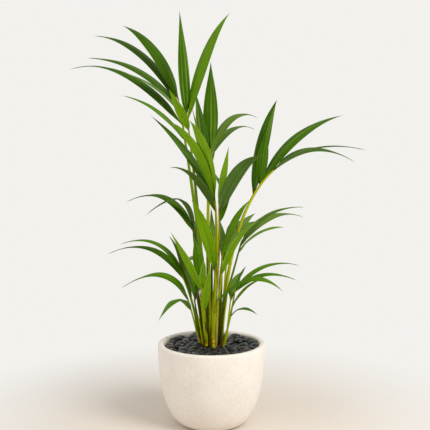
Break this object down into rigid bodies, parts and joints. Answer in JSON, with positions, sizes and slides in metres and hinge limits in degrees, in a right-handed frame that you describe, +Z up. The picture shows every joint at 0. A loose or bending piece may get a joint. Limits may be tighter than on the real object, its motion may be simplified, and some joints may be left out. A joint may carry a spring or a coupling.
{
  "type": "kentia palm in a pot",
  "caption": "Kentia palm with a clump of slender stems and arching fronds of long leaflets, growing in a rounded stone pot topped with dark pebbles.",
  "frame": {"origin": "centre of the flat underside of the pot, where the plant stands", "axes": "+Z up, +X to the right-hand side of the plant, +Y to its back"},
  "size_m": [0.8477, 0.655, 1.18],
  "materials": {
    "pot": "matt cast stone with a fine speckle",
    "soil": "damp crumbly potting soil",
    "pebbles": "satin black river pebbles",
    "stem": "smooth green cane with pale leaf rings",
    "dark_leaf": "semi-gloss mature leaf",
    "fresh_leaf": "semi-gloss young leaf"
  },
  "bodies": {
    "root": {"pot": "pot", "potting_soil": "soil", "pebble_bed": "pebbles", "stem_left": "stem", "stem_front": "stem", "stem_centre": "stem", "stem_ringed": "stem", "stem_right": "stem", "stem_back": "stem", "frond_tall_left": "dark_leaf", "frond_young_upright": "fresh_leaf", "frond_dark_back": "dark_leaf", "frond_centre": "fresh_leaf", "frond_centre_right": "dark_leaf", "frond_tall_right": "dark_leaf", "frond_left_upper": "fresh_leaf", "frond_centre_leaf": "fresh_leaf", "frond_left_mid": "fresh_leaf", "frond_left_low": "fresh_leaf", "frond_front": "fresh_leaf", "frond_right_inner": "fresh_leaf", "frond_right_mid": "dark_leaf", "frond_right_low": "dark_leaf", "frond_front_low": "fresh_leaf", "frond_back_tall": "dark_leaf", "frond_back_left": "fresh_leaf", "frond_back_right": "fresh_leaf", "frond_back_low": "dark_leaf", "frond_side_low": "fresh_leaf"}
  },
  "joints": []
}
